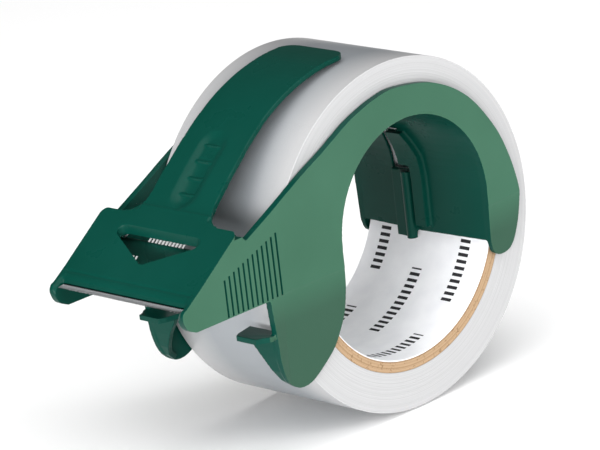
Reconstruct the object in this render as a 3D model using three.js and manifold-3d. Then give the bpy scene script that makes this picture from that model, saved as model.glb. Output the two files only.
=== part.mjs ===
// Hand tape dispenser (tape gun) loaded with a full roll of 50 mm packing tape.
//
// Frame, in millimetres: the origin is the centre of the roll, on its axis and on the mid-plane.
// +Y runs along the roll's axis, -X points towards the cutting blade and +Z is up.
// "near" parts lie on the -Y side and "far" parts mirror them on the +Y side.

import * as THREE from "three";
import { mergeVertices } from "three/addons/utils/BufferGeometryUtils.js";
import Module from "manifold-3d";

const wasm = await Module();
wasm.setup();

// ---- Driving dimensions -------------------------------------------------------------------

const GAP = 0.3; // clearance kept between touching pieces

const TAPE_WIDTH = 50;
const WINDING_RADIUS = 53;
const CORE_OUTER_RADIUS = 41.0;
const CORE_INNER_RADIUS = 38.05;
const LINER_THICKNESS = 0.35;
const FILM_THICKNESS = 0.25;
const FILM_WIDTH = 49.6;

const BODY_WIDTH = 56; // over the two cheeks
const CHEEK_THICKNESS = 2.4;
const CHEEK_OUTER = BODY_WIDTH / 2;
const CHEEK_INNER = CHEEK_OUTER - CHEEK_THICKNESS;
const CHEEK_BOTTOM = -1.4;

const PLATE_THICKNESS = 2.6;
const PLATE_REAR = [-68.3, 22.3]; // x, z of the sloping plate's top surface at its rear edge
const PLATE_FRONT = [-89.2, 7.25]; // and at its front edge

const FLEX_X = -66; // where each swinging cheek flexes against the front body
const FLEX_GAP = 0.4;

const GROOVE_COUNT = 12;
const GROOVE_FIRST_X = -75.7;
const GROOVE_PITCH = 1.95;
const GROOVE_WIDTH = 0.6;
const GROOVE_DEPTH = 0.6;
const GROOVE_BOTTOM = -1.0;
const GROOVE_TOP_FRONT = 10.1; // height of the first groove's top
const GROOVE_TOP_REAR = 17.7; // height of the last groove's top

const ARCH_CENTRE = [2.5, 4.6];
const ARCH_RADIUS = 30.9;

const HUB_CENTRE = [2, 4]; // of the outer face; the inner face is flush with the arch
const HUB_RADIUS = 32.5;
const HUB_REAR_BOTTOM = -12;
const HUB_FRONT_BOTTOM = -6;
const HUB_ROOT = CHEEK_INNER - GAP; // distance of each shell's root from the mid-plane
const HUB_DRAFT = 1.5; // how far forward the shell's free end leans
const HUB_DRAFT_LENGTH = 28;

const SEAM_Y = 0.9; // where the two hub shells meet
const LATCH_Y = 9.6; // far edge of the notch that the near half's latch tongue lies in
const LATCH_LOW = 7.4; // the notch's bottom and top
const LATCH_HIGH = 21.5;
const LATCH_SLOT = 3.6; // open slot beside the tongue
const LATCH_LIFT = 1.7; // open slot under the tongue
const GUSSET_THICKNESS = 1.8;
const RIB_BOTTOM = -14.2;

const BLADE_TIP_X = -91.9;
const BLADE_Z = 5.0;
const BLADE_THICKNESS = 0.5;
const BLADE_HALF_LENGTH = 25.2;
const BLADE_REAR_X = -84.9;
const TOOTH_PITCH = 0.84;
const TOOTH_DEPTH = 1.3;

const FILM_TURN = [-84.4, 3.5]; // x, z where the film turns level under the blade
const FILM_END_X = -91.2;

// ---- Materials ----------------------------------------------------------------------------

function material(name, color, roughness, metalness = 0) {
  return Object.assign(new THREE.MeshStandardMaterial({ color, roughness, metalness }), { name });
}

const greenPlastic = material("green plastic", 0x10553f, 0.42);
const cheekPlastic = material("cheek plastic", 0x2f7a5a, 0.5);
const steel = material("steel", 0xc9ccd0, 0.3, 1);
const tape = material("wound tape", 0xd5d7da, 0.25);
const film = material("tape film", 0xdfe4e6, 0.15);
const cardboard = material("cardboard", 0xcfa173, 0.9);
const liner = material("paper liner", 0xdcdce0, 0.8);

// ---- Helpers ------------------------------------------------------------------------------

/** A solid of manifold-3d from a closed three.js geometry. */
function toSolid(geometry) {
  const bare = geometry.clone();
  bare.deleteAttribute("normal");
  bare.deleteAttribute("uv");
  const merged = mergeVertices(bare, 1e-4);
  return new wasm.Manifold(
    new wasm.Mesh({
      numProp: 3,
      vertProperties: new Float32Array(merged.attributes.position.array),
      triVerts: new Uint32Array(merged.index.array),
    }),
  );
}

/** A three.js geometry from a solid of manifold-3d. */
function toGeometry(solid) {
  const mesh = solid.getMesh();
  const geometry = new THREE.BufferGeometry();
  geometry.setAttribute("position", new THREE.BufferAttribute(new Float32Array(mesh.vertProperties), 3));
  geometry.setIndex(new THREE.BufferAttribute(new Uint32Array(mesh.triVerts), 1));
  geometry.computeVertexNormals();
  return geometry;
}

const cut = (a, b) => toGeometry(toSolid(a).subtract(toSolid(b)));
const common = (a, b) => toGeometry(toSolid(a).intersect(toSolid(b)));

/** An x-z outline extruded along Y from y0 to y1. */
function alongY(shape, y0, y1, curveSegments = 24) {
  const geometry = new THREE.ExtrudeGeometry(shape, { depth: y1 - y0, bevelEnabled: false, curveSegments });
  geometry.rotateX(Math.PI / 2); // the shape's y becomes z, and the depth runs towards -Y
  geometry.translate(0, y1, 0);
  return geometry;
}

/** A y-z outline extruded along X from x0 to x1. */
function alongX(shape, x0, x1) {
  const geometry = new THREE.ExtrudeGeometry(shape, { depth: x1 - x0, bevelEnabled: false });
  geometry.applyMatrix4(new THREE.Matrix4().set(0, 0, 1, x0, 1, 0, 0, 0, 0, 1, 0, 0, 0, 0, 0, 1));
  return geometry;
}

/** An x-y outline extruded along Z from z0 to z1. */
function alongZ(shape, z0, z1, curveSegments = 12) {
  const geometry = new THREE.ExtrudeGeometry(shape, { depth: z1 - z0, bevelEnabled: false, curveSegments });
  geometry.translate(0, 0, z0);
  return geometry;
}

/** A box between two opposite corners. */
function box(low, high) {
  const size = high.map((value, i) => value - low[i]);
  const geometry = new THREE.BoxGeometry(...size);
  geometry.translate(...low.map((value, i) => value + size[i] / 2));
  return geometry;
}

/** A closed polygon through the points given. */
function polygon(points) {
  return new THREE.Shape(points.map(([x, y]) => new THREE.Vector2(x, y)));
}

/** Points on a smooth curve through the points given. */
function smooth(points, divisions) {
  const curve = new THREE.SplineCurve(points.map(([x, y]) => new THREE.Vector2(x, y)));
  return curve.getSpacedPoints(divisions).map((p) => [p.x, p.y]);
}

/** Points on a circular arc, with the angles in degrees. */
function arc([cx, cy], radius, from, to, divisions) {
  return Array.from({ length: divisions + 1 }, (_, i) => {
    const angle = THREE.MathUtils.degToRad(from + ((to - from) * i) / divisions);
    return [cx + radius * Math.cos(angle), cy + radius * Math.sin(angle)];
  });
}

/** The same geometry on the other side of the mid-plane. */
function mirrored(geometry) {
  const copy = geometry.index ? geometry.toNonIndexed() : geometry.clone();
  copy.scale(1, -1, 1);
  const position = copy.attributes.position;
  const corner = new THREE.Vector3();
  const other = new THREE.Vector3();
  for (let i = 0; i < position.count; i += 3) {
    corner.fromBufferAttribute(position, i + 1);
    other.fromBufferAttribute(position, i + 2);
    position.setXYZ(i + 1, other.x, other.y, other.z);
    position.setXYZ(i + 2, corner.x, corner.y, corner.z);
  }
  copy.computeVertexNormals();
  return copy;
}

/** Lofts closed rings of equal length into one solid with flat ends. */
function loft(rings) {
  const n = rings[0].length;
  const triangles = [];
  const push = (...corners) => corners.forEach((corner) => triangles.push(...corner));
  for (let r = 0; r + 1 < rings.length; r += 1) {
    for (let i = 0; i < n; i += 1) {
      const j = (i + 1) % n;
      push(rings[r][i], rings[r][j], rings[r + 1][j]);
      push(rings[r][i], rings[r + 1][j], rings[r + 1][i]);
    }
  }
  const last = rings[rings.length - 1];
  for (let i = 1; i + 1 < n; i += 1) {
    push(rings[0][0], rings[0][i + 1], rings[0][i]);
    push(last[0], last[i], last[i + 1]);
  }
  const geometry = new THREE.BufferGeometry();
  geometry.setAttribute("position", new THREE.BufferAttribute(new Float32Array(triangles), 3));
  geometry.computeVertexNormals();
  return geometry;
}

const dispenser = new THREE.Group();
dispenser.name = "tape_dispenser";

function add(name, geometry, finish) {
  const mesh = new THREE.Mesh(geometry, finish);
  mesh.name = name;
  dispenser.add(mesh);
}

/** Adds a near-side piece and its mirror image on the far side. */
function addPair(name, geometry, finish) {
  add(`near_${name}`, geometry, finish);
  add(`far_${name}`, mirrored(geometry), finish);
}

// ---- The roll of tape ---------------------------------------------------------------------

/** A plain ring about the Y axis. */
function ring(outerRadius, innerRadius, width, segments = 96) {
  const profile = [
    [innerRadius, -width / 2],
    [outerRadius, -width / 2],
    [outerRadius, width / 2],
    [innerRadius, width / 2],
    [innerRadius, -width / 2],
  ];
  return new THREE.LatheGeometry(profile.map(([r, y]) => new THREE.Vector2(r, y)), segments);
}

function addRoll() {
  const linerOuter = CORE_INNER_RADIUS - GAP;
  add("tape_winding", ring(WINDING_RADIUS, CORE_OUTER_RADIUS + GAP, TAPE_WIDTH), tape);
  add("cardboard_core", ring(CORE_OUTER_RADIUS, CORE_INNER_RADIUS, TAPE_WIDTH), cardboard);
  add("core_liner", ring(linerOuter, linerOuter - LINER_THICKNESS, TAPE_WIDTH - 0.6), liner);
}

// ---- The front body -----------------------------------------------------------------------

const plateRun = PLATE_FRONT[0] - PLATE_REAR[0];
const plateDrop = PLATE_FRONT[1] - PLATE_REAR[1];
const plateLength = Math.hypot(plateRun, plateDrop);
const plateDown = [plateRun / plateLength, plateDrop / plateLength]; // along the slope, downhill

/** A point x, z measured along the plate from its rear edge, at a depth below its top surface. */
function onPlate(along, depth) {
  return [
    PLATE_REAR[0] + along * plateDown[0] - depth * plateDown[1],
    PLATE_REAR[1] + along * plateDown[1] + depth * plateDown[0],
  ];
}

/** The triangular window, as an x-y outline that is extruded straight down. */
function windowOutline() {
  const at = (along, y) => [onPlate(along, 0)[0], y];
  const half = [
    at(4.4, 14.2),
    at(4.9, 15.9),
    at(6.3, 16.8),
    at(7.9, 16.2),
    at(15.6, 1.8),
    at(16.3, 0.8),
  ];
  return polygon([...half, ...half.map(([x, y]) => [x, -y]).reverse()]);
}

function addFrontPlate() {
  const section = polygon([
    onPlate(0, 0),
    onPlate(plateLength, 0),
    onPlate(plateLength + 1.0, 0.5),
    onPlate(plateLength + 1.1, 1.3),
    onPlate(plateLength - 0.3, PLATE_THICKNESS - 0.6),
    onPlate(plateLength - 1.6, PLATE_THICKNESS),
    onPlate(0, PLATE_THICKNESS),
  ]);
  const plate = alongY(section, -CHEEK_OUTER, CHEEK_OUTER);
  add("front_plate", cut(plate, alongZ(windowOutline(), 0, 40)), greenPlastic);
}

/** Vertical grip grooves in a cheek's outer face, between two x limits. */
function grooveCutters(xLow, xHigh) {
  const cutters = [];
  for (let i = 0; i < GROOVE_COUNT; i += 1) {
    const x = GROOVE_FIRST_X + i * GROOVE_PITCH;
    if (x < xLow || x > xHigh) continue;
    const top = THREE.MathUtils.lerp(GROOVE_TOP_FRONT, GROOVE_TOP_REAR, i / (GROOVE_COUNT - 1));
    const low = [x - GROOVE_WIDTH / 2, -CHEEK_OUTER - 1, GROOVE_BOTTOM];
    const high = [x + GROOVE_WIDTH / 2, -CHEEK_OUTER + GROOVE_DEPTH, top];
    cutters.push(box(low, high));
  }
  return cutters;
}

function addFrontCheeks() {
  const under = PLATE_THICKNESS + GAP;
  const tip = smooth([[-88.4, CHEEK_BOTTOM], [-91.5, 0.2], [-93, 3.4], [-92.4, 5.5], [-91.1, 6.2]], 12);
  const outline = polygon([
    [FLEX_X - FLEX_GAP / 2, CHEEK_BOTTOM],
    ...tip,
    [-90.4, 5.0],
    onPlate(plateLength - 0.3, under - 0.5),
    onPlate(plateLength - 1.6, under),
    [FLEX_X - FLEX_GAP / 2, 19.0],
  ]);
  let cheek = alongY(outline, -CHEEK_OUTER, -CHEEK_INNER);
  for (const cutter of grooveCutters(-90, FLEX_X - 1)) cheek = cut(cheek, cutter);
  addPair("front_cheek", cheek, cheekPlastic);
}

/** The wedge under the plate's lip that carries the blade. */
function addBladeSeat() {
  const top = PLATE_THICKNESS + GAP;
  const seatFloor = BLADE_Z + BLADE_THICKNESS + GAP;
  const front = onPlate(plateLength - 2.2, top);
  const section = polygon([
    [front[0], seatFloor],
    front,
    onPlate(plateLength - 6.2, top),
    [BLADE_REAR_X + 0.2, seatFloor],
  ]);
  add("blade_seat", alongY(section, -CHEEK_INNER + GAP, CHEEK_INNER - GAP), greenPlastic);
}

/** Three moulded stakes that hold the blade against its seat. */
function addBladeStakes() {
  for (const [i, y] of [-18, 0, 18].entries()) {
    const head = new THREE.CylinderGeometry(1.1, 1.3, 0.5, 24);
    head.rotateX(Math.PI / 2);
    head.translate(-86.6, y, BLADE_Z - GAP - 0.25);
    add(`blade_stake_${i + 1}`, head, greenPlastic);
  }
}

/** The wall between the front cheeks that the tape passes over. */
function addGuideWall() {
  const thickness = 1.8;
  const top = 13.2;
  const front = FLEX_X - 3.4;
  const section = polygon([
    [front, CHEEK_BOTTOM],
    [front + thickness, CHEEK_BOTTOM],
    ...arc([front + thickness / 2, top], thickness / 2, 0, 180, 8),
  ]);
  add("guide_wall", alongY(section, -CHEEK_INNER + GAP, CHEEK_INNER - GAP), greenPlastic);
}

/** The rib that hangs from the plate's rear edge, just above the tape. */
function addPlateSkirt() {
  const rear = -66.9;
  const front = rear - 1.5;
  const bottom = 17.4;
  const underPlate = PLATE_THICKNESS + GAP;
  const top = onPlate(0, underPlate); // the plate's underside slopes down and forward from here
  const slope = plateDown[1] / plateDown[0];
  const section = polygon([
    [front, bottom],
    [rear, bottom],
    [rear, top[1] + (rear - top[0]) * slope],
    [front, top[1] + (front - top[0]) * slope],
  ]);
  add("plate_skirt", alongY(section, -CHEEK_INNER + GAP, CHEEK_INNER - GAP), greenPlastic);
}

function addBlade() {
  const count = Math.floor((2 * BLADE_HALF_LENGTH) / TOOTH_PITCH);
  const start = (-count * TOOTH_PITCH) / 2;
  const points = [[BLADE_REAR_X, start], [BLADE_REAR_X, -start]];
  for (let i = count; i >= 0; i -= 1) {
    points.push([BLADE_TIP_X + TOOTH_DEPTH, start + i * TOOTH_PITCH]);
    if (i > 0) points.push([BLADE_TIP_X, start + (i - 0.5) * TOOTH_PITCH]);
  }
  add("cutter_blade", alongZ(polygon(points), BLADE_Z, BLADE_Z + BLADE_THICKNESS), steel);
}

/** The free end of the tape, from the roll's top to the blade. */
function addTapeLead() {
  const leave = WINDING_RADIUS + GAP + 0.05;
  const reach = Math.hypot(...FILM_TURN);
  const bearing = Math.atan2(FILM_TURN[1], FILM_TURN[0]);
  const angle = bearing - Math.acos(leave / reach); // where the straight run touches the roll
  const touch = [leave * Math.cos(angle), leave * Math.sin(angle)];
  const normal = [Math.cos(angle) * FILM_THICKNESS, Math.sin(angle) * FILM_THICKNESS];
  const section = polygon([
    touch,
    [touch[0] + normal[0], touch[1] + normal[1]],
    [FILM_TURN[0] + normal[0] * 0.7, FILM_TURN[1] + FILM_THICKNESS],
    [FILM_END_X, FILM_TURN[1] + FILM_THICKNESS],
    [FILM_END_X, FILM_TURN[1]],
    FILM_TURN,
  ]);
  add("tape_lead", alongY(section, -FILM_WIDTH / 2, FILM_WIDTH / 2), film);
}

// ---- The thumb brake ----------------------------------------------------------------------

const TONGUE_HALF_WIDTH = 12.6;
const TONGUE_THICKNESS = 1.6;
const TONGUE_TOP = [
  [-67.5, 22.6],
  [-64, 25.2],
  [-60, 28.9],
  [-53, 35],
  [-44.2, 42],
  [-35, 47.8],
  [-25.2, 51.9],
  [-16, 54.2],
  [-9, 55],
  [-2.5, 55.2],
];

/** The arm that arches over the roll and brakes it when the thumb presses it down. */
function addThumbBrake() {
  const top = smooth(TONGUE_TOP, 36);
  const under = top.map(([x, z], i) => {
    const [ax, az] = top[Math.max(i - 1, 0)];
    const [bx, bz] = top[Math.min(i + 1, top.length - 1)];
    const length = Math.hypot(bx - ax, bz - az);
    return [x + ((bz - az) / length) * TONGUE_THICKNESS, z - ((bx - ax) / length) * TONGUE_THICKNESS];
  });
  const slab = alongY(polygon([...top, ...under.reverse()]), -30, 30);
  const corner = 5;
  const rootHalf = 19.4;
  const edge = smooth([[-67.9, rootHalf], [-67.2, 16.8], [-65.6, 14.7], [-63.2, 13.5], [-59, 13.2]], 12);
  const tip = arc([-2.6 - corner, TONGUE_HALF_WIDTH - corner], corner, 90, 0, 6);
  const half = [...edge, [-40, TONGUE_HALF_WIDTH], ...tip];
  const plan = polygon([...half, ...half.map(([x, y]) => [x, -y]).reverse()]);
  const arm = common(slab, alongZ(plan, 10, 70));
  const thumb = new THREE.SphereGeometry(1, 32, 16);
  thumb.scale(15, 5.6, 2.4);
  thumb.rotateY(-THREE.MathUtils.degToRad(44));
  thumb.translate(-57.6, 0, 33.4);
  add("thumb_brake", cut(arm, thumb), greenPlastic);
}

// ---- The swinging cheeks ------------------------------------------------------------------

function addCheeks() {
  const arch = smooth([[-65.8, 18.7], [-54.2, 24.4], [-41.3, 31], [-31.6, 35.4], [-21.7, 40.4],
    [-15.3, 42.8], [-8.7, 44.6], [0, 45.5], [15.6, 42.7], [29.2, 34.9], [39.4, 22.7], [44.6, 11.8],
    [47.3, 1.5], [47.1, -3.3], [45.7, -9.5], [43.7, -14.3]], 80);
  const hook = smooth([[43.7, -14.3], [41.4, -16.6], [37.5, -17.2], [34.6, -15.7], [33.4, -12]], 10);
  const inner = arc(ARCH_CENTRE, ARCH_RADIUS, 0, 180, 32);
  const lobe = smooth([[-28.4, -3.2], [-28.7, -7.5], [-29.9, -13.9], [-32.5, -19.4], [-35.3, -23.5],
    [-39.9, -27.3], [-44.6, -30.3], [-48.4, -31.1], [-51.3, -30.4], [-54.5, -28], [-56.3, -24.5],
    [-57.4, -19.8], [-57.8, -14.8], [-58.3, -10.1], [-58.7, -6], [-59.1, CHEEK_BOTTOM]], 40);
  const outline = polygon([
    ...arch,
    ...hook.slice(1),
    ...inner,
    ...lobe,
    [FLEX_X + FLEX_GAP / 2, CHEEK_BOTTOM],
  ]);
  let cheek = alongY(outline, -CHEEK_OUTER, -CHEEK_INNER);
  for (const cutter of grooveCutters(FLEX_X + 1, -50)) cheek = cut(cheek, cutter);
  addPair("side_cheek", cheek, cheekPlastic);
}

const TAB_TOP = -12.2;
const TAB_BOTTOM = -13.9;

/** The inward-turned rim along each retaining lobe's front edge, below its tab. */
function addLobeFlanges() {
  const root = CHEEK_INNER - GAP;
  // x and z of the front edge, and how near the rim's free edge comes to the mid-plane
  const stations = [
    [-58, TAB_BOTTOM - GAP, 15.2],
    [-57.8, -16.4, 16.6],
    [-57.4, -19.5, 18.9],
    [-56.3, -24.2, 21.6],
    [-54.6, -27.6, 23.4],
    [-51.6, -30.2, 24.6],
  ];
  const thickness = 1.8;
  const rings = stations.map(([x, z, freeEdge], i) => {
    const [ax, az] = stations[Math.max(i - 1, 0)];
    const [bx, bz] = stations[Math.min(i + 1, stations.length - 1)];
    const length = Math.hypot(bx - ax, bz - az);
    const back = [(-(bz - az) / length) * thickness, ((bx - ax) / length) * thickness];
    if (i === 0) back[1] = 0;
    return [
      [x, -root, z],
      [x, -freeEdge, z],
      [x + back[0], -freeEdge, z + back[1]],
      [x + back[0], -root, z + back[1]],
    ];
  });
  addPair("lobe_flange", loft(rings), greenPlastic);
}

/** The shelf that stands forward from the top of each lobe's flange. */
function addLobeTabs() {
  const front = -63.4;
  const back = -54.9;
  const side = -CHEEK_INNER + GAP;
  const ahead = -58.4 - GAP; // just in front of the cheek's own edge
  const plan = polygon([
    [back, side],
    [ahead, side],
    [ahead, side - 1.8],
    [front + 3.2, side - 1],
    [front + 1.8, side + 0.2],
    [front, side + 0.7],
    [front, -16.2],
    [front + 2, -15],
    [back, -13.4],
  ]);
  addPair("lobe_tab", alongZ(plan, TAB_BOTTOM, TAB_TOP), greenPlastic);
}

// ---- The hub that the roll hangs on -------------------------------------------------------

/** The hub's section: an arch with straight legs, as an x-z outline. */
function hubSection() {
  return polygon([
    [HUB_CENTRE[0] + HUB_RADIUS, HUB_REAR_BOTTOM],
    ...arc(HUB_CENTRE, HUB_RADIUS, 0, 180, 40),
    [HUB_CENTRE[0] - HUB_RADIUS, HUB_FRONT_BOTTOM],
    [ARCH_CENTRE[0] - ARCH_RADIUS, HUB_FRONT_BOTTOM],
    ...arc(ARCH_CENTRE, ARCH_RADIUS, 180, 0, 36),
    [ARCH_CENTRE[0] + ARCH_RADIUS, HUB_REAR_BOTTOM],
  ]);
}

/** A band of the hub's hollow next to its inner face, down to the height given. */
function hollowSection(thickness, bottom) {
  const outer = ARCH_RADIUS - GAP;
  const inner = outer - thickness;
  return polygon([
    [ARCH_CENTRE[0] + outer, bottom],
    ...arc(ARCH_CENTRE, outer, 0, 180, 36),
    ...arc(ARCH_CENTRE, inner, 180, 0, 36),
    [ARCH_CENTRE[0] + inner, bottom],
  ]);
}

/** Leans a hub piece forward in proportion to its distance from the cheek that carries it. */
function leanForward(geometry, side) {
  const position = geometry.attributes.position;
  for (let i = 0; i < position.count; i += 1) {
    const fromRoot = HUB_ROOT - side * position.getY(i);
    position.setX(i, position.getX(i) - (HUB_DRAFT * fromRoot) / HUB_DRAFT_LENGTH);
  }
  geometry.computeVertexNormals();
  return geometry;
}

/** The near hub half, with the latch tongue that crosses the seam. */
function nearHub() {
  const seam = SEAM_Y - GAP / 2;
  const end = LATCH_Y - LATCH_SLOT;
  const low = LATCH_LOW + LATCH_LIFT;
  const high = LATCH_HIGH - GAP / 2;
  let shell = alongY(hubSection(), -HUB_ROOT, end);
  shell = cut(shell, box([-40, seam, -20], [20, 12, 40]));
  shell = cut(shell, box([15, seam, high], [40, 12, 40]));
  shell = cut(shell, box([15, seam, -20], [40, 12, low]));
  return leanForward(shell, -1);
}

/** The far hub half, notched around the latch tongue. */
function farHub() {
  const notchLow = [15, SEAM_Y - 1, LATCH_LOW];
  const notchHigh = [40, LATCH_Y, LATCH_HIGH + GAP / 2];
  const shell = alongY(hubSection(), SEAM_Y + GAP / 2, HUB_ROOT);
  return leanForward(cut(shell, box(notchLow, notchHigh)), 1);
}

/** The raised plate with a sloping top that stiffens the near latch tongue. */
function nearLatchGusset() {
  const low = LATCH_LOW + LATCH_LIFT + GAP / 2;
  const high = LATCH_HIGH - 0.4;
  const bottom = -9.8;
  const right = -4.2;
  const left = LATCH_Y - LATCH_SLOT - 1.8;
  const outline = polygon([
    [right, bottom],
    [SEAM_Y - 0.6, bottom],
    [SEAM_Y - 0.6, low],
    [left, low],
    [left, high],
    [-1.8, high],
    [right, 12.8],
  ]);
  const lining = alongY(hollowSection(GUSSET_THICKNESS, -20), right - 1, LATCH_Y);
  return leanForward(common(lining, alongX(outline, 20, 40)), -1);
}

/** The upright half-round rib that closes the far side of the latch. */
function farLatchRib() {
  const face = ARCH_CENTRE[0] + ARCH_RADIUS;
  const base = face - 1.3;
  const round = 1.7;
  const edge = SEAM_Y + 0.4;
  const plan = polygon([
    [face, edge],
    [face, LATCH_Y],
    [base, LATCH_Y],
    ...arc([base, edge + round], round, 90, 270, 12),
  ]);
  const hollow = alongY(hollowSection(10, -20), 0, 20);
  return leanForward(common(alongZ(plan, RIB_BOTTOM, LATCH_LOW - GAP), hollow), 1);
}

function addHub() {
  add("near_hub_shell", nearHub(), greenPlastic);
  add("far_hub_shell", farHub(), greenPlastic);
  add("near_latch_gusset", nearLatchGusset(), greenPlastic);
  add("far_latch_rib", farLatchRib(), greenPlastic);
}

addFrontPlate();
addFrontCheeks();
addBladeSeat();
addBladeStakes();
addGuideWall();
addPlateSkirt();
addBlade();
addTapeLead();
addThumbBrake();
addCheeks();
addLobeFlanges();
addLobeTabs();
addHub();
addRoll();

export default dispenser;
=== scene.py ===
"""Hand tape dispenser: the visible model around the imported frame.

Lengths are in metres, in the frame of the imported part: the roll's centre is the origin, +Y runs
along its axis, -X points to the blade and +Z is up. "near" is the -Y side.
"""

import math

import bmesh
import bpy
import numpy as np
from mathutils import Matrix, Vector


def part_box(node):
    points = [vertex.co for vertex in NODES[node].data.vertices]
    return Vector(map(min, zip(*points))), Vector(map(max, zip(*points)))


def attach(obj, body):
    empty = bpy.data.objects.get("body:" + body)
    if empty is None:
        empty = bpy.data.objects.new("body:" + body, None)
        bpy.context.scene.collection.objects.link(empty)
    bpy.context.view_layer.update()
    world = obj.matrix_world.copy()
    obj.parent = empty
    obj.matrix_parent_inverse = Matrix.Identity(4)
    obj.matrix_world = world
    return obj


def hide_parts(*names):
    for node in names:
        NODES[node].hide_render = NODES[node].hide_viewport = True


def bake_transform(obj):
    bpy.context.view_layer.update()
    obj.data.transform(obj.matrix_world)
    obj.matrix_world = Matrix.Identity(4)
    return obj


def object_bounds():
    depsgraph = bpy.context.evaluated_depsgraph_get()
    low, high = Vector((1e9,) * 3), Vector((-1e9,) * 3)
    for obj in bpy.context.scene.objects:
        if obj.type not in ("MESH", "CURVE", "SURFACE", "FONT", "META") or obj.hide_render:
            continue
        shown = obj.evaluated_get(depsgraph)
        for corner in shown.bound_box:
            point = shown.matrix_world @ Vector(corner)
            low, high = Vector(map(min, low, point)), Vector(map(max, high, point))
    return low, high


MM = 0.001

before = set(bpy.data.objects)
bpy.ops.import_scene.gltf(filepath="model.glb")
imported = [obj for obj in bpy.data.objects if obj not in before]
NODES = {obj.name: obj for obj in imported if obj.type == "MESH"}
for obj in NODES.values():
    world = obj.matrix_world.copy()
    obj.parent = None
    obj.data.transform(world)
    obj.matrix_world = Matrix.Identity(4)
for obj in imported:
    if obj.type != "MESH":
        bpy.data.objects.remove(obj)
cad_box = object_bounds()

VOXEL = 0.25 * MM  # grid of the remeshed mouldings
CLOSING = 0.2 * MM  # half of the widest gap between CAD pieces that a moulding closes
MOST_FACES = 150_000  # of one moulding, in triangles
SMOOTHING = 8  # rounds of smoothing after the remesh
RING_SEGMENTS = 192  # of each ring of the roll

FLOOR_HALF_SIZE = 12
FLOOR_GAP = 0.0005  # below the lowest point of the part

# Driving dimensions, as in the CAD model

CHEEK_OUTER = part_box("near_side_cheek")[0].y
CHEEK_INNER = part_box("near_side_cheek")[1].y
FLEX_X = -66 * MM  # where each swinging cheek flexes
FLEX_GAP = 0.4 * MM

GROOVE_COUNT = 12
GROOVE_FIRST_X = -75.7 * MM
GROOVE_PITCH = 1.95 * MM
GROOVE_MOUTH = 0.75 * MM
GROOVE_FLOOR = 0.4 * MM
GROOVE_DEPTH = 0.6 * MM
GROOVE_BOTTOM = -1.0 * MM
GROOVE_TOP_FRONT = 10.1 * MM
GROOVE_TOP_REAR = 17.7 * MM

CREASE_Z = -0.8 * MM  # the mould's parting line across the neck
CREASE_HOOK_X = 30 * MM  # from here the line slants up to the rear hook's edge
CREASE_HOOK_SLOPE = 0.04
DRAFT = 0.045  # how far the face leans in, per length below the parting line
DRAFT_FADE = 6 * MM  # the stretch over which the lean sets in, that far behind the flex line
CREASE_STEP = 0.12 * MM  # the small step that the parting line leaves
CREASE_EDGE = 0.3 * MM  # the height over which that step falls
PAINTED_SHADE_FADE = 9 * MM  # the stretch below it over which the face's colour darkens: painted shade

RECESS_LENGTH = 28 * MM  # the thumb recess, along the slope
RECESS_HALF_WIDTH = 6.0 * MM
RECESS_WALL = 0.6  # share of the half width that its wall takes
RECESS_DEPTH = 0.7 * MM
RIB_HEIGHT = 0.5 * MM
RIB_PITCH = 5.5 * MM
RIB_COUNT = 4
RIB_WIDTH = 0.42 * MM
RECESS_SLOPE = math.radians(42)  # of the brake's upper face there
RECESS_CENTRE = (-55.0 * MM, 33.2 * MM)  # x, z

PLATE_REAR = Vector((-68.3, 22.3)) * MM  # x, z of the sloping plate's top face at its rear edge
PLATE_FRONT = Vector((-89.2, 7.25)) * MM  # and at its front edge
CORNER_RADIUS = 2.6 * MM  # of the plate's two rear corners
BRAKE_ROOT_STEPS = ((3.4, 14.0), (1.2, 16.4), (0.5, 18.8))  # each web's reach and half width, in mm

ROLL_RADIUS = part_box("tape_winding")[1].z
ROLL_HALF_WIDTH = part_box("tape_winding")[1].y
CORE_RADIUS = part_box("cardboard_core")[1].z
LINER_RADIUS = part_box("core_liner")[1].z
LINER_HALF_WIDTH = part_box("core_liner")[1].y
LINER_THICKNESS = 0.35 * MM
PRINT_START = 44 * MM  # how far along its free end the tape's print begins
FILM_TURN_X = -84.4 * MM  # where the tape's free end turns level under the blade
CORE_THICKNESS = CORE_RADIUS - LINER_RADIUS - 0.02 * MM


# ---- Camera, floor and light ---------------------------------------------------------------


def add_camera():
    """Places the camera by its own right, up and back axes, rolled about its line of sight."""
    place = Vector((-0.831122, -0.863211, 0.373251))
    target = Vector((-0.01796, 0.0, 0.00505))
    roll = math.radians(-6.805)
    forward = (target - place).normalized()
    level = forward.cross(Vector((0, 0, 1))).normalized()
    upright = level.cross(forward)
    right = level * math.cos(roll) + upright * math.sin(roll)
    up = right.cross(forward)
    data = bpy.data.cameras.new("camera")
    data.lens = 253.34
    data.sensor_width = 36
    data.clip_end = 50
    camera = bpy.data.objects.new("camera", data)
    axes = Matrix((right, up, -forward)).transposed().to_4x4()
    camera.matrix_world = Matrix.Translation(place) @ axes
    bpy.context.scene.collection.objects.link(camera)
    bpy.context.scene.camera = camera


def add_floor(height):
    mesh = bpy.data.meshes.new("floor")
    s = FLOOR_HALF_SIZE
    corners = [(-s, -s, height), (s, -s, height), (s, s, height), (-s, s, height)]
    mesh.from_pydata(corners, [], [(0, 1, 2, 3)])
    floor = bpy.data.objects.new("floor", mesh)
    bpy.context.scene.collection.objects.link(floor)
    material, _, _, shader = new_material("floor_white")
    shader.inputs["Base Color"].default_value = (0.97, 0.97, 0.97, 1)
    shader.inputs["Roughness"].default_value = 0.9
    shader.inputs["Specular IOR Level"].default_value = 0.0
    mesh.materials.append(material)


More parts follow.
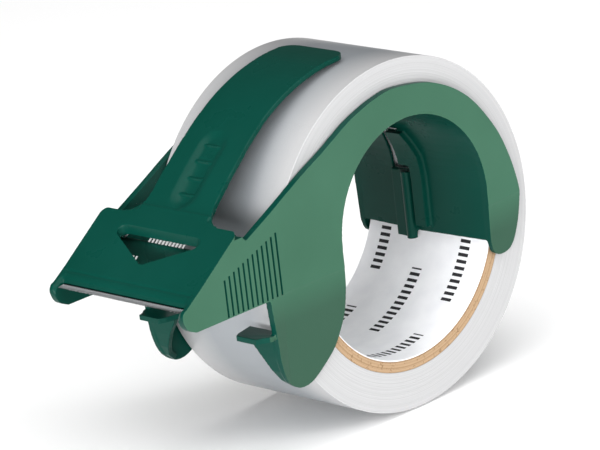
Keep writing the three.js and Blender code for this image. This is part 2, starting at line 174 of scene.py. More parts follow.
def add_light(name, place, size, power):
    """A white rectangular area light that faces the origin."""
    data = bpy.data.lights.new(name, "AREA")
    data.shape = "RECTANGLE"
    data.size, data.size_y = size
    data.energy = power
    light = bpy.data.objects.new(name, data)
    light.rotation_euler = (-Vector(place)).to_track_quat("-Z", "Y").to_euler()
    light.location = place
    bpy.context.scene.collection.objects.link(light)


def add_stage():
    add_floor(cad_box[0][2] - FLOOR_GAP)
    world = bpy.data.worlds.new("studio")
    world.use_nodes = True
    background = world.node_tree.nodes["Background"]
    background.inputs["Color"].default_value = (1, 1, 1, 1)
    background.inputs["Strength"].default_value = 0.1
    bpy.context.scene.world = world
    add_light("top_softbox", (-0.5, -0.5, 2.2), (3.4, 2.6), 70)
    add_light("front_softbox", (0.3, -2.2, 0.9), (1.8, 1.4), 42)
    add_light("left_softbox", (-2.0, -0.7, 0.22), (2.4, 0.54), 66)
    bpy.context.scene.view_settings.view_transform = "Standard"


# ---- Mesh helpers --------------------------------------------------------------------------


def link(name, mesh):
    piece = bpy.data.objects.new(name, mesh)
    bpy.context.scene.collection.objects.link(piece)
    return piece


def mesh_from(name, points, faces):
    mesh = bpy.data.meshes.new(name)
    mesh.from_pydata(points, [], faces)
    mesh.validate()
    return mesh


def outline_of(node, y):
    """The largest closed loop of x, z points that bounds a CAD node's flat face at this y."""
    bm = bmesh.new()
    bm.from_mesh(NODES[node].data)
    bmesh.ops.remove_doubles(bm, verts=bm.verts, dist=1e-6)
    flat = [f for f in bm.faces if all(abs(v.co.y - y) < 2e-5 for v in f.verts)]
    inside = set(flat)  # for lookup only: a set's order changes from run to run
    after = {}
    for face in flat:
        for loop in face.loops:
            others = [f for f in loop.edge.link_faces if f is not face]
            if not any(f in inside for f in others):
                after[loop.vert.index] = loop.link_loop_next.vert.index
    bm.verts.ensure_lookup_table()
    best = []
    while after:
        start, at = after.popitem()
        ring = [start]
        while at != start:
            ring.append(at)
            at = after.pop(at)
        if len(ring) > len(best):
            best = ring
    points = [(bm.verts[i].co.x, bm.verts[i].co.z) for i in best]
    bm.free()
    return points


def box_mesh(low, high):
    """A box between two opposite corners, for cutting."""
    (x0, y0, z0), (x1, y1, z1) = low, high
    y0, y1 = min(y0, y1), max(y0, y1)
    return prism([(x0, y0), (x1, y0), (x1, y1), (x0, y1)], z0, z1)


def extruded_faces(n):
    """The two ends and n sides of a solid whose points are one outline followed by its copy."""
    faces = [tuple(range(n)), tuple(range(2 * n - 1, n - 1, -1))]
    return faces + [(k, n + k, n + (k + 1) % n, (k + 1) % n) for k in range(n)]


def prism(outline, z0, z1):
    """A closed upright prism from an x, y outline."""
    points = [(x, y, z) for z in (z0, z1) for x, y in outline]
    return mesh_from("prism", points, extruded_faces(len(outline)))


def slab(outline, y0, y1):
    """A closed plate between two y values, from an x, z outline."""
    points = [(x, y, z) for y in (y0, y1) for x, z in outline]
    return mesh_from("slab", points, extruded_faces(len(outline)))


def joined(meshes):
    """One mesh that holds copies of several, with shared vertices merged and normals outward."""
    bm = bmesh.new()
    for mesh in meshes:
        bm.from_mesh(mesh)
    bmesh.ops.remove_doubles(bm, verts=bm.verts, dist=1e-6)
    bmesh.ops.recalc_face_normals(bm, faces=bm.faces)
    mesh = bpy.data.meshes.new("joined")
    bm.to_mesh(mesh)
    bm.free()
    return mesh


def modified(piece):
    """Replaces the piece's mesh by the result of its modifiers."""
    depsgraph = bpy.context.evaluated_depsgraph_get()
    mesh = bpy.data.meshes.new_from_object(piece.evaluated_get(depsgraph))
    piece.modifiers.clear()
    piece.data = mesh
    mesh.name = piece.name
    return mesh


def moulding(name, meshes):
    """A single smooth moulding from overlapping or nearly touching solids, with small fillets."""
    piece = link(name, joined(meshes))
    grow = piece.modifiers.new("grow", "DISPLACE")
    grow.strength = CLOSING
    grow.mid_level = 0
    remesh = piece.modifiers.new("remesh", "REMESH")
    remesh.mode = "VOXEL"
    remesh.voxel_size = VOXEL
    shrink = piece.modifiers.new("shrink", "DISPLACE")
    shrink.strength = -CLOSING
    shrink.mid_level = 0
    smooth = piece.modifiers.new("smooth", "SMOOTH")
    smooth.factor = 0.5
    smooth.iterations = SMOOTHING
    modified(piece)
    return piece


def reduce(piece):
    """Thins out a dense mesh where it is nearly flat, down to MOST_FACES triangles."""
    triangles = sum(len(p.vertices) - 2 for p in piece.data.polygons)
    if triangles > MOST_FACES:
        fewer = piece.modifiers.new("fewer", "DECIMATE")
        fewer.ratio = MOST_FACES / triangles
        modified(piece)


def move_points(piece, rule):
    """Moves every point of a mesh by a function of its x, y, z columns, which returns three columns."""
    mesh = piece.data
    co = np.empty(len(mesh.vertices) * 3)
    mesh.vertices.foreach_get("co", co)
    x, y, z = co.reshape(-1, 3).T
    moved = np.stack(rule(x.copy(), y.copy(), z.copy()), axis=1)
    mesh.vertices.foreach_set("co", moved.ravel())
    mesh.update()


def cut(piece, cutters):
    """Cuts the cutter meshes out of a piece."""
    tool = link("cutter", joined(cutters))
    boolean = piece.modifiers.new("cut", "BOOLEAN")
    boolean.operation = "DIFFERENCE"
    boolean.solver = "MANIFOLD"
    boolean.object = tool
    modified(piece)
    bpy.data.objects.remove(tool)


def finish_surface(piece, material, sharp=35):
    """Gives a piece its material and smooth shading, apart from edges over sharp degrees."""
    mesh = piece.data
    mesh.materials.clear()
    mesh.materials.append(material)
    mesh.polygons.foreach_set("use_smooth", [True] * len(mesh.polygons))
    mesh.set_sharp_from_angle(angle=math.radians(sharp))


def grain_and_sheen_outer_faces(piece, material):
    """Gives the cheeks' outer faces the satin grain of the mould's side plates, in a lighter colour that
    paints the sheen of the side light.
    """
    mesh = piece.data
    mesh.materials.append(material)
    rim = abs(CHEEK_OUTER) - 1.6 * MM
    for face in mesh.polygons:
        y = face.center.y
        outward = face.normal.y * math.copysign(1, y)
        face.material_index = int(abs(y) > rim and outward > 0.35)


def lathe(profile, segments):
    """A closed ring about the Y axis from a closed profile of (radius, y), with UVs in metres."""
    n = len(profile)
    turns = [2 * math.pi * k / segments for k in range(segments)]
    points = [(r * math.cos(a), y, r * math.sin(a)) for a in turns for r, y in profile]
    faces = []
    for k in range(segments):
        a, b = k * n, (k + 1) % segments * n
        faces += [(a + i, b + i, b + (i + 1) % n, a + (i + 1) % n) for i in range(n)]
    mesh = mesh_from("lathe", points, faces)
    uv = mesh.uv_layers.new(name="unrolled").data
    for face in mesh.polygons:
        step = face.vertices[0] // n
        for loop in face.loop_indices:
            index = mesh.loops[loop].vertex_index
            turn = step + (index // n != step)
            r, y = profile[index % n]
            uv[loop].uv = (turn * 2 * math.pi / segments * r, y)
    bm = bmesh.new()
    bm.from_mesh(mesh)
    bmesh.ops.recalc_face_normals(bm, faces=bm.faces)
    bm.to_mesh(mesh)
    bm.free()
    return mesh


def lathe_z(profile, segments, x, y):
    """A closed solid of revolution about an upright axis at x, y.

    The profile's (radius, z) points go from the axis at the bottom, outwards, to the axis at the top.
    """
    n = segments
    turns = [2 * math.pi * k / n for k in range(n)]
    rings = profile[1:-1]
    points = [(x + r * math.cos(a), y + r * math.sin(a), z) for r, z in rings for a in turns]
    bottom, top, last = len(points), len(points) + 1, len(points) - n
    points += [(x, y, profile[0][1]), (x, y, profile[-1][1])]
    faces = [(bottom, (k + 1) % n, k) for k in range(n)]
    for at in range(0, last, n):
        faces += [(at + k, at + (k + 1) % n, at + n + (k + 1) % n, at + n + k) for k in range(n)]
    faces += [(last + k, last + (k + 1) % n, top) for k in range(n)]
    return mesh_from("lathe", points, faces)


# ---- Material helpers ----------------------------------------------------------------------


def new_material(name):
    material = bpy.data.materials.new(name)
    material.use_nodes = True
    nodes = material.node_tree.nodes
    return material, nodes, material.node_tree.links, nodes["Principled BSDF"]


def noise(nodes, links, scale, detail, roughness=0.5):
    coordinates = nodes.new("ShaderNodeTexCoord")
    texture = nodes.new("ShaderNodeTexNoise")
    texture.inputs["Scale"].default_value = scale
    texture.inputs["Detail"].default_value = detail
    texture.inputs["Roughness"].default_value = roughness
    links.new(coordinates.outputs["Object"], texture.inputs["Vector"])
    return texture.outputs["Fac"]


def ramp(nodes, links, fac, low, high, low_at=0.0, high_at=1.0):
    """A colour or value between two ends, by a factor."""
    node = nodes.new("ShaderNodeValToRGB")
    node.color_ramp.elements[0].position = low_at
    node.color_ramp.elements[1].position = high_at
    node.color_ramp.elements[0].color = low if len(low) == 4 else (*low, 1)
    node.color_ramp.elements[1].color = high if len(high) == 4 else (*high, 1)
    links.new(fac, node.inputs["Fac"])
    return node.outputs["Color"]


def grey(value):
    return (value, value, value)


def bump(nodes, links, shader, height, strength, distance):
    node = nodes.new("ShaderNodeBump")
    node.inputs["Strength"].default_value = strength
    node.inputs["Distance"].default_value = distance
    links.new(height, node.inputs["Height"])
    links.new(node.outputs["Normal"], shader.inputs["Normal"])


def math_node(nodes, links, operation, a, b=None):
    """A math node on sockets or plain numbers."""
    node = nodes.new("ShaderNodeMath")
    node.operation = operation
    for socket, value in zip(node.inputs, (a, b)):
        if value is None:
            continue
        if isinstance(value, (int, float)):
            socket.default_value = value
        else:
            links.new(value, socket)
    return node.outputs[0]


def mix(nodes, links, factor, a, b):
    """Mixes two colours, each a socket or a plain colour."""
    node = nodes.new("ShaderNodeMix")
    node.data_type = "RGBA"
    links.new(factor, node.inputs["Factor"])
    for socket, value in ((node.inputs["A"], a), (node.inputs["B"], b)):
        if isinstance(value, tuple):
            socket.default_value = (*value, 1)
        else:
            links.new(value, socket)
    return node.outputs["Result"]


def separate(nodes, links, vector):
    node = nodes.new("ShaderNodeSeparateXYZ")
    links.new(vector, node.inputs[0])
    return node.outputs


def axis_radius(nodes, links):
    """Distance of the surface point from the roll's axis."""
    x, _, z = separate(nodes, links, nodes.new("ShaderNodeTexCoord").outputs["Object"])
    squares = [math_node(nodes, links, "MULTIPLY", v, v) for v in (x, z)]
    return math_node(nodes, links, "SQRT", math_node(nodes, links, "ADD", *squares))


def on_sides(nodes, links):
    """1 on faces that look along the roll's axis, and 0 elsewhere."""
    y = separate(nodes, links, nodes.new("ShaderNodeTexCoord").outputs["Normal"])[1]
    return math_node(nodes, links, "GREATER_THAN", math_node(nodes, links, "ABSOLUTE", y), 0.7)


def rings(nodes, links, radius, per_mm):
    """Irregular rings about the roll's axis, as the edges of wound tape show."""
    texture = nodes.new("ShaderNodeTexNoise")
    texture.noise_dimensions = "1D"
    texture.inputs["Scale"].default_value = 1.0
    texture.inputs["Detail"].default_value = 3
    links.new(math_node(nodes, links, "MULTIPLY", radius, per_mm / MM), texture.inputs["W"])
    return texture.outputs["Fac"]


def green_plastic(name, shades, roughness, grain, gloss, below=1.0):
    """Moulded plastic with grain, flow marks and scuffs; below scales its colour under the parting line, as
    painted shade.
    """
    material, nodes, links, shader = new_material(name)
    colour = ramp(nodes, links, noise(nodes, links, 30, 3), *shades, 0.3, 0.7)
    # Painted shade: below the parting line the colour fades to the mean shade, scaled by below.
    z = separate(nodes, links, nodes.new("ShaderNodeTexCoord").outputs["Object"])[2]
    depth = math_node(nodes, links, "SUBTRACT", CREASE_Z, z)
    depth = math_node(nodes, links, "MULTIPLY", depth, 1 / PAINTED_SHADE_FADE)
    painted_shade_colour = tuple(below * (a + b) / 2 for a, b in zip(*shades))
    colour = mix(nodes, links, ramp(nodes, links, depth, grey(0), grey(1)), colour, painted_shade_colour)
    scuff = ramp(nodes, links, noise(nodes, links, 420, 6, 0.75), grey(0), grey(0.5), 0.70, 0.82)
    worn = mix(nodes, links, scuff, colour, tuple(1.25 * value + 0.002 for value in shades[1]))
    links.new(worn, shader.inputs["Base Color"])
    rough = ramp(nodes, links, noise(nodes, links, 90, 5), *map(grey, roughness), 0.3, 0.7)
    links.new(rough, shader.inputs["Roughness"])
    bump(nodes, links, shader, noise(nodes, links, 2600, 2), grain, 0.00006)
    shader.inputs["Specular IOR Level"].default_value = gloss
    return material


def wound_tape():
    """Clear tape wound many times: milky and glossy outside, with painted shade down the middle of its outer
    face, finely ringed on its sides.
    """
    material, nodes, links, shader = new_material("wound_tape")
    radius = axis_radius(nodes, links)
    ring = rings(nodes, links, radius, 3.0)
    side = ramp(nodes, links, ring, (0.37, 0.37, 0.375), (0.43, 0.43, 0.435), 0.35, 0.65)
    # Painted shade: the outer face is darker down its middle and lighter towards its edges.
    y = separate(nodes, links, nodes.new("ShaderNodeTexCoord").outputs["Object"])[1]
    painted_shade_drift = math_node(nodes, links, "MULTIPLY", noise(nodes, links, 22, 2), 4 * MM)
    edge = math_node(nodes, links, "ADD", math_node(nodes, links, "ABSOLUTE", y), painted_shade_drift)
    edge = math_node(nodes, links, "DIVIDE", edge, ROLL_HALF_WIDTH)
    face = ramp(nodes, links, edge, (0.225, 0.24, 0.255), (0.35, 0.35, 0.355), 0.50, 0.98)
    sides = on_sides(nodes, links)
    links.new(mix(nodes, links, sides, face, side), shader.inputs["Base Color"])
    rough = mix(nodes, links, sides, grey(0.3), grey(0.5))
    links.new(rough, shader.inputs["Roughness"])
    bump(nodes, links, shader, ring, 0.25, 0.00008)
    shader.inputs["Specular IOR Level"].default_value = 0.45
    return material


def cardboard():
    """Spirally wound board: tan layers with darker flecks and a fibrous grain."""
    material, nodes, links, shader = new_material("cardboard")
    radius = axis_radius(nodes, links)
    layers = rings(nodes, links, radius, 1.6)
    tan = ramp(nodes, links, layers, (0.28, 0.18, 0.095), (0.40, 0.27, 0.16), 0.35, 0.65)
    flecks = ramp(nodes, links, noise(nodes, links, 900, 4, 0.7), grey(0), grey(1), 0.56, 0.66)
    links.new(mix(nodes, links, flecks, tan, (0.19, 0.11, 0.05)), shader.inputs["Base Color"])
    shader.inputs["Roughness"].default_value = 0.9
    bump(nodes, links, shader, noise(nodes, links, 1500, 6, 0.7), 0.6, 0.00015)
    return material


def printed_strokes(nodes, links, along, across, run, row, stroke, first, last, shift):
    """Generic print: rows of short upright strokes, which repeat along the strip.

    A row repeats after run and has ink from first to last; the next one is a row further across and
    shifted along by shift. stroke is a stroke's pitch, its height and the share of the pitch it fills.
    """

    def wrapped(value, period):
        share = math_node(nodes, links, "FRACT", math_node(nodes, links, "DIVIDE", value, period))
        return math_node(nodes, links, "MULTIPLY", share, period)

    count = math_node(nodes, links, "FLOOR", math_node(nodes, links, "DIVIDE", across, row))
    moved = math_node(nodes, links, "ADD", along, math_node(nodes, links, "MULTIPLY", count, shift))
    a = wrapped(moved, run)
    b = wrapped(across, row)
    inside = math_node(nodes, links, "GREATER_THAN", a, first)
    inside = math_node(nodes, links, "MULTIPLY", inside, math_node(nodes, links, "LESS_THAN", a, last))
    band = math_node(nodes, links, "LESS_THAN", b, stroke[1])
    ink = math_node(nodes, links, "LESS_THAN", wrapped(a, stroke[0]), stroke[0] * stroke[2])
    return math_node(nodes, links, "MULTIPLY", math_node(nodes, links, "MULTIPLY", inside, band), ink)


def unrolled(nodes, links):
    """Distances along and across a strip that was laid round the roll's axis."""
    coordinates = nodes.new("ShaderNodeUVMap")
    coordinates.uv_map = "unrolled"
    return separate(nodes, links, coordinates.outputs["UV"])[:2]


def paper_liner():
    """White paper with generic black strokes printed on the side that faces the hub."""
    material, nodes, links, shader = new_material("paper_liner")
    u, v = unrolled(nodes, links)
    across = math_node(nodes, links, "ADD", v, 0.1)
    ink = printed_strokes(
        nodes,
        links,
        along=u,
        across=across,
        run=0.040,
        row=0.0165,
        stroke=(0.0021, 0.0040, 0.5),
        first=0.006,
        last=0.032,
        shift=0.017,
    )
    paper = ramp(nodes, links, noise(nodes, links, 160, 5), (0.86, 0.86, 0.89), (0.93, 0.93, 0.95), 0.3, 0.7)
    links.new(mix(nodes, links, ink, paper, (0.012, 0.012, 0.014)), shader.inputs["Base Color"])
    shader.inputs["Roughness"].default_value = 0.75
    bump(nodes, links, shader, noise(nodes, links, 1100, 5), 0.3, 0.00008)
    return material


def tape_film():
    """Clear, glossy film with generic white strokes printed across it."""
    material, nodes, links, shader = new_material("tape_film")
    u, v = unrolled(nodes, links)
    along = math_node(nodes, links, "ADD", u, 0.1)
    ink = printed_strokes(
        nodes,
        links,
        along=along,
        across=v,
        run=0.024,
        row=0.0075,
        stroke=(0.0014, 0.0022, 0.5),
        first=0.004,
        last=0.019,
        shift=0.009,
    )
    ink = math_node(nodes, links, "MULTIPLY", ink, math_node(nodes, links, "GREATER_THAN", v, PRINT_START))
    cloud = ramp(nodes, links, noise(nodes, links, 60, 3), grey(0.001), grey(0.004), 0.3, 0.7)
    links.new(mix(nodes, links, ink, cloud, grey(0.92)), shader.inputs["Alpha"])
    shade = mix(nodes, links, ink, (0.75, 0.78, 0.80), (0.85, 0.85, 0.85))
    links.new(shade, shader.inputs["Base Color"])
    shader.inputs["Roughness"].default_value = 0.1
    bump(nodes, links, shader, noise(nodes, links, 90, 2), 0.05, 0.0004)
    return material


def blade_steel():
    """Dark strip steel, brushed along the blade, with a painted highlight on the side of each tooth that
    faces -Y.
    """
    material, nodes, links, shader = new_material("blade_steel")
    coordinates = nodes.new("ShaderNodeTexCoord")
    stretch = nodes.new("ShaderNodeMapping")
    stretch.inputs["Scale"].default_value = (1, 0.03, 1)
    links.new(coordinates.outputs["Object"], stretch.inputs["Vector"])
    brushed = nodes.new("ShaderNodeTexNoise")
    brushed.inputs["Scale"].default_value = 3000
    brushed.inputs["Detail"].default_value = 3
    links.new(stretch.outputs["Vector"], brushed.inputs["Vector"])
    dark, light = (0.008, 0.009, 0.010), (0.018, 0.019, 0.020)
    stain = ramp(nodes, links, noise(nodes, links, 120, 4), dark, light, 0.3, 0.7)
    # Painted highlight: facets that face -Y are bright, the rest keep the dark steel.
    y = separate(nodes, links, coordinates.outputs["Normal"])[1]
    painted_highlight_facets = math_node(nodes, links, "LESS_THAN", y, -0.2)
    links.new(mix(nodes, links, painted_highlight_facets, stain, (0.19, 0.195, 0.20)), shader.inputs["Base Color"])
    rough = ramp(nodes, links, brushed.outputs["Fac"], grey(0.35), grey(0.5))
    links.new(rough, shader.inputs["Roughness"])
    shader.inputs["Metallic"].default_value = 1.0
    bump(nodes, links, shader, brushed.outputs["Fac"], 0.2, 0.00003)
    return material


# ---- The green mouldings -------------------------------------------------------------------


def groove_cutters(side):
    """The twelve grip grooves of one cheek, as tapered cutters; side is -1 (near) or +1 (far)."""
    meshes = []
    face = abs(CHEEK_OUTER)
    for i in range(GROOVE_COUNT):
        x = GROOVE_FIRST_X + i * GROOVE_PITCH
        top = GROOVE_TOP_FRONT + (GROOVE_TOP_REAR - GROOVE_TOP_FRONT) * i / (GROOVE_COUNT - 1)
        section = [
            (x - GROOVE_MOUTH / 2, face + 1 * MM),
            (x - GROOVE_MOUTH / 2, face - 0.02 * MM),
            (x - GROOVE_FLOOR / 2, face - GROOVE_DEPTH),
            (x + GROOVE_FLOOR / 2, face - GROOVE_DEPTH),
            (x + GROOVE_MOUTH / 2, face - 0.02 * MM),
            (x + GROOVE_MOUTH / 2, face + 1 * MM),
        ]
        meshes.append(prism([(px, side * py) for px, py in section], GROOVE_BOTTOM, top))
    return meshes


def on_plate(share, depth):
    """A point x, z at a share of the plate's slope from its rear edge, some mm below its top face."""
    down = (PLATE_FRONT - PLATE_REAR).normalized()
    point = PLATE_REAR.lerp(PLATE_FRONT, share) + Vector((-down.y, down.x)) * depth * MM
    return tuple(point)


def brake_root():
    """The web that joins the plate's rear edge and the thumb brake, narrower further up the arm."""
    front = [on_plate(0.08, 0.1), on_plate(0.08, 2.5)]
    meshes = []
    for reach, half_width in BRAKE_ROOT_STEPS:
        steps = ((0.76 * reach, 0.56 * reach), (reach, 0.2 * reach), (0.44 * reach, -1.9))
        rear = [tuple(PLATE_REAR + Vector(step) * MM) for step in steps]
        meshes.append(slab([front[0], *rear, front[1]], -half_width * MM, half_width * MM))
    return meshes


def corner_cutter(side):
    """Takes the sharp corner off the plate's rear edge."""
    x, y = PLATE_REAR.x, side * abs(CHEEK_OUTER)
    cx, cy = x - CORNER_RADIUS, y - side * CORNER_RADIUS
    turns = [(math.cos(a), math.sin(a)) for a in np.linspace(0, math.pi / 2, 9)]
    arc = [(cx + CORNER_RADIUS * c, cy + side * CORNER_RADIUS * s) for c, s in turns]
    outside = [(cx, y + side * 2 * MM), (x + 4 * MM, y + side * 2 * MM), (x + 4 * MM, cy)]
    return prism(arc + outside, PLATE_REAR.y - 2.1 * MM, PLATE_REAR.y + 9 * MM)


def cheek_slab(side):
    """One whole cheek, from the nose to the rear hook, without the CAD model's flex gap."""
    name = "near" if side < 0 else "far"
    front = outline_of(name + "_front_cheek", side * abs(CHEEK_INNER))
    rear = outline_of(name + "_side_cheek", side * abs(CHEEK_INNER))
    edge = max(x for x, z in front)
    front = [(x + 3 * FLEX_GAP if x > edge - 1e-5 else x, z) for x, z in front]
    rim = [on_plate(1, 1.5), on_plate(1, 4), on_plate(0, 4), on_plate(0, 1.8)]
    tip = (PLATE_FRONT.x - 1.9 * MM, PLATE_FRONT.y - 1.1 * MM)
    nose = [tip, (tip[0] - 0.4 * MM, tip[1] - 2 * MM), on_plate(0.8, 5), on_plate(0.8, 0)]
    y0, y1 = side * abs(CHEEK_INNER), side * abs(CHEEK_OUTER)
    return [slab(part, y0, y1) for part in (front, rear, rim, nose)]


def draft_below_crease(side):
    """Leans the cheek's outer face inwards below the crease that the mould's parting leaves."""
    inner = abs(CHEEK_INNER)

    def rule(x, y, z):
        outer = np.clip((side * y - inner) / (abs(CHEEK_OUTER) - inner), 0, 1)
        line = CREASE_Z + np.where(x > 0, (x - CREASE_HOOK_X) * CREASE_HOOK_SLOPE, 0)
        reach = np.clip((x - FLEX_X) / DRAFT_FADE - 1, 0, 1)
        below = np.clip(line - z, 0, None) * DRAFT
        below += np.clip((line - z) / CREASE_EDGE, 0, 1) * CREASE_STEP
        return x, y - side * outer * reach * below, z

    return rule


def add_side_shell(side, name, nodes):
    """One cheek with its arch, lobe, flange, tab and hub shell, as a single moulding."""
    shell = moulding(name, cheek_slab(side) + [NODES[node].data for node in nodes[1:]])
    move_points(shell, draft_below_crease(side))
    front = box_mesh((-1, -1, -1), (FLEX_X, 1, 1))
    cut(shell, groove_cutters(side))
    cut(shell, [front])
    reduce(shell)
    finish_surface(shell, GREEN)
    grain_and_sheen_outer_faces(shell, SATIN_PAINTED_SHEEN_GREEN)
    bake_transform(shell)
    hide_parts(*nodes)


def round_lip(x, y, z):
    """Rolls the plate's front edge down over its last stretch, behind a shallow line."""
    reach, drop = 2.2 * MM, 0.75 * MM
    line_at, line_depth, line_width = 2.6 * MM, 0.22 * MM, 0.45 * MM
    down = (PLATE_FRONT - PLATE_REAR).normalized()
    along = (x - PLATE_FRONT.x) * down.x + (z - PLATE_FRONT.y) * down.y
    depth = (x - PLATE_FRONT.x) * -down.y + (z - PLATE_FRONT.y) * down.x
    share = np.clip((along + reach * 0.6) / reach, 0, 1) ** 2
    press = drop * share + line_depth * np.exp(-(((along + line_at) / line_width) ** 2))
    press *= np.clip(1 - depth / (1.6 * MM), 0, 1) * (depth > -0.5 * MM)
    press *= np.clip((abs(CHEEK_INNER) + 1 * MM - np.abs(y)) / (1 * MM), 0, 1)
    return x - down.y * press, y, z + down.x * press


def press_thumb_recess(piece):
    """Presses a stadium-shaped thumb recess with cross ribs into the brake's upper face."""
    along_x, along_z = math.cos(RECESS_SLOPE), math.sin(RECESS_SLOPE)
    centre_x, centre_z = RECESS_CENTRE
    ribs = [(k - (RIB_COUNT - 1) / 2) * RIB_PITCH for k in range(RIB_COUNT)]

    def rule(x, y, z):
        s = (x - centre_x) * along_x + (z - centre_z) * along_z
        up = -(x - centre_x) * along_z + (z - centre_z) * along_x
        beyond = np.clip(np.abs(s) - (RECESS_LENGTH / 2 - RECESS_HALF_WIDTH), 0, None)
        edge = 1 - np.hypot(beyond, y) / RECESS_HALF_WIDTH
        wall = np.clip(edge / RECESS_WALL, 0, 1)
        depth = RECESS_DEPTH * wall * wall * (3 - 2 * wall)
        for rib in ribs:
            ridge = np.exp(-(((s - rib) / RIB_WIDTH) ** 2))
            depth -= RIB_HEIGHT * ridge * np.clip((edge - 0.4) / 0.3, 0, 1)
        upper = (up > -1.5 * MM) & (up < 2 * MM)
        depth = np.where(upper & (edge > 0), depth, 0)
        return x + along_z * depth, y, z - along_x * depth

    move_points(piece, rule)


def add_front_body():
    """The plate, the front cheeks, the cross walls and the thumb brake, as a single moulding."""
    nodes = ["front_plate", "blade_seat", "guide_wall", "plate_skirt", "thumb_brake"]
    meshes = [NODES[node].data for node in nodes] + cheek_slab(-1) + cheek_slab(1)
    shell = moulding("front_body", meshes + brake_root())
    press_thumb_recess(shell)
    move_points(shell, round_lip)
    cut(shell, groove_cutters(-1) + groove_cutters(1) + [corner_cutter(-1), corner_cutter(1)])
    inner = abs(CHEEK_INNER) - 2 * MM
    rears = [box_mesh((FLEX_X, s * inner, -1), (1, s * 1, 1)) for s in (-1, 1)]
    cut(shell, rears)
    reduce(shell)
    finish_surface(shell, GREEN)
    grain_and_sheen_outer_faces(shell, SATIN_PAINTED_SHEEN_GREEN)
    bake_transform(shell)
    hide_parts(*nodes, "near_front_cheek", "far_front_cheek")


def add_stakes():
    """The moulded stakes that hold the blade, each with its domed head downwards."""
    for node in ("blade_stake_1", "blade_stake_2", "blade_stake_3"):
        low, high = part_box(node)
        radius = (high.x - low.x) / 2
        height = high.z - low.z
        turns = np.linspace(0, math.pi / 2, 7)[1:]
        dome = [(radius * math.sin(a), high.z - height * math.cos(a)) for a in turns]
        profile = [(0.0, low.z), *dome, (0.0, high.z)]
        piece = link(node + "_head", lathe_z(profile, 32, (low.x + high.x) / 2, (low.y + high.y) / 2))
        finish_surface(piece, GREEN)
        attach(piece, "root")
        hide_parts(node)


# ---- The roll, the film and the blade ------------------------------------------------------


def ring_profile(inner, outer, half_width, round_by, ridges=0, ridge_depth=0.0, seed=1):
    """A ring's closed profile with rounded outer edges and fine random ridges on its two sides."""
    random = np.random.default_rng(seed)
    quarter = np.linspace(0, math.pi / 2, 5)
    r0, y0 = outer - round_by, half_width - round_by
    corner = [(r0 + round_by * math.sin(a), y0 + round_by * math.cos(a)) for a in quarter]
    radii = np.linspace(inner, r0, ridges + 2)[1:-1]
    side = [(inner, half_width - 0.3 * round_by)]
    side += [(r, half_width - d) for r, d in zip(radii, random.uniform(0, ridge_depth, ridges))]
    half = side + corner
    return half + [(r, -y) for r, y in reversed(half)]


def add_ring(name, node, profile, material):
    piece = link(name, lathe(profile, RING_SEGMENTS))
    finish_surface(piece, material, sharp=50)
    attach(piece, "roll")
    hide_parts(node)


def add_roll():
    winding = ring_profile(CORE_RADIUS + 0.05 * MM, ROLL_RADIUS, ROLL_HALF_WIDTH, 0.18 * MM, 60, 0.1 * MM, 3)
    add_ring("tape_roll", "tape_winding", winding, wound_tape())
    inner = CORE_RADIUS - CORE_THICKNESS
    core = ring_profile(inner, CORE_RADIUS, ROLL_HALF_WIDTH, 0.15 * MM, 9, 0.12 * MM, 5)
    add_ring("core_ring", "cardboard_core", core, cardboard())
    inner = LINER_RADIUS - LINER_THICKNESS
    paper = ring_profile(inner, LINER_RADIUS, LINER_HALF_WIDTH, 0.08 * MM)
    add_ring("liner_paper", "core_liner", paper, paper_liner())


def add_film():
    """The free end of the tape: straight from the roll, then level under the blade."""
    low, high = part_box("tape_lead")
    thickness, bend = 0.1 * MM, 2.5 * MM
    lift = 0.08 * MM
    radius = ROLL_RADIUS + 0.35 * MM + lift
    turn = Vector((FILM_TURN_X, low.z + lift))
    angle = math.atan2(turn.y, turn.x) - math.acos(radius / turn.length)
    touch = Vector((radius * math.cos(angle), radius * math.sin(angle)))
    down = (turn - touch).normalized()
    before = turn - down * bend
    after = Vector((turn.x - bend, turn.y))
    line = [touch.lerp(before, t) for t in np.linspace(0, 1, 24)]
    for t in np.linspace(0, 1, 10)[1:]:
        line.append(before.lerp(turn, t).lerp(turn.lerp(after, t), t))
    end = Vector((low.x + 0.2 * MM, turn.y))
    line += [after.lerp(end, t) for t in np.linspace(0, 1, 4)[1:]]
    across = np.linspace(low.y + 0.1 * MM, high.y - 0.1 * MM, 30)
    bm = bmesh.new()
    uv = bm.loops.layers.uv.new("unrolled")
    rows, lengths, run = [], [], 0.0
    for i, p in enumerate(line):
        run += (p - line[i - 1]).length if i else 0.0
        lengths.append(run)
        rows.append([bm.verts.new((p.x, y, p.y)) for y in across])
    for i in range(len(rows) - 1):
        for j in range(len(across) - 1):
            face = bm.faces.new((rows[i][j], rows[i][j + 1], rows[i + 1][j + 1], rows[i + 1][j]))
            corners = ((i, j), (i, j + 1), (i + 1, j + 1), (i + 1, j))
            for loop, (a, b) in zip(face.loops, corners):
                loop[uv].uv = (across[b], lengths[a])
    mesh = bpy.data.meshes.new("film")
    bm.to_mesh(mesh)
    bm.free()
    piece = link("tape_film", mesh)
    solid = piece.modifiers.new("thickness", "SOLIDIFY")
    solid.thickness = thickness
    solid.offset = 0
    modified(piece)
    finish_surface(piece, tape_film())
    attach(piece, "root")
    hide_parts("tape_lead")


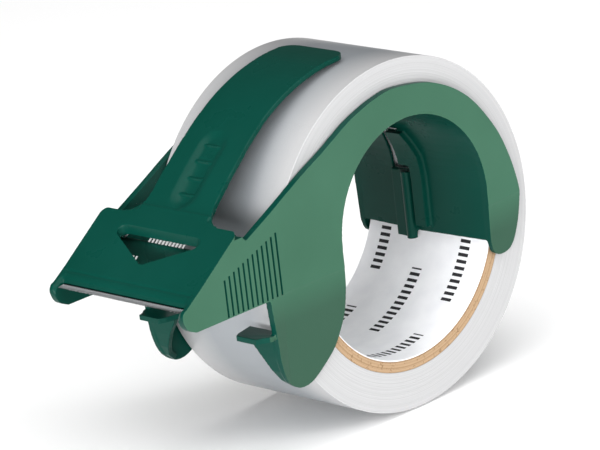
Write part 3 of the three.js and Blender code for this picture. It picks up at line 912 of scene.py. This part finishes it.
def add_blade():
    """A steel strip with saw teeth, each with a ground ridge that slopes off to the gaps beside it."""
    low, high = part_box("cutter_blade")
    pitch, depth = 0.84 * MM, 1.6 * MM
    count = round((high.y - low.y) / pitch)
    root, edge = low.x + depth, low.z + 0.1 * MM
    bm = bmesh.new()

    def row(x_gap, x_tip, z_gap, z_tip):
        """Points across the blade: by turns in a gap, beside it, on a tooth's ridge and beside it."""
        verts = []
        for k in range(4 * count + 1):
            share = (0, 0.3, 1, 0.3)[k % 4]
            y = low.y + k * (high.y - low.y) / (4 * count)
            x = x_gap + (x_tip - x_gap) * share
            verts.append(bm.verts.new((x, y, z_gap + (z_tip - z_gap) * share)))
        return verts

    rows = [
        row(high.x, high.x, high.z, high.z),
        row(root + 0.4 * MM, root + 0.4 * MM, high.z, high.z),
        row(root, root - 0.2 * MM, edge, high.z),
        row(root, low.x, edge, edge + 0.15 * MM),
        row(root, low.x, low.z, low.z),
        row(high.x, high.x, low.z, low.z),
    ]
    for a, b in zip(rows, rows[1:] + rows[:1]):
        for k in range(4 * count):
            bm.faces.new((a[k], a[k + 1], b[k + 1], b[k]))
    for k in (0, 4 * count):
        bm.faces.new([r[k] for r in rows])
    bmesh.ops.recalc_face_normals(bm, faces=bm.faces)
    mesh = bpy.data.meshes.new("blade")
    bm.to_mesh(mesh)
    bm.free()
    piece = link("saw_blade", mesh)
    finish_surface(piece, blade_steel(), sharp=15)
    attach(piece, "root")
    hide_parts("cutter_blade")


# ---- Build ---------------------------------------------------------------------------------

add_camera()
add_stage()
GREEN = green_plastic(
    "green_plastic",
    shades=((0.0010, 0.037, 0.026), (0.0018, 0.044, 0.032)),
    roughness=(0.26, 0.34),
    grain=0.08,
    gloss=0.09,
)
# The cheeks' satin plastic: rougher and grainier than the polished green, and lighter in colour as a painted
# sheen of the side light.
SATIN_PAINTED_SHEEN_GREEN = green_plastic(
    "satin_green_painted_sheen",
    shades=((0.024, 0.090, 0.052), (0.030, 0.104, 0.062)),
    roughness=(0.42, 0.52),
    grain=0.3,
    gloss=0.22,
    # below paints shade on the cheeks under the parting line
    below=0.68,
)
add_front_body()
add_side_shell(
    -1,
    "near_side_shell",
    ["near_side_cheek", "near_lobe_flange", "near_lobe_tab", "near_hub_shell", "near_latch_gusset"],
)
add_side_shell(
    1,
    "far_side_shell",
    ["far_side_cheek", "far_lobe_flange", "far_lobe_tab", "far_hub_shell", "far_latch_rib"],
)
add_stakes()
add_roll()
add_film()
add_blade()
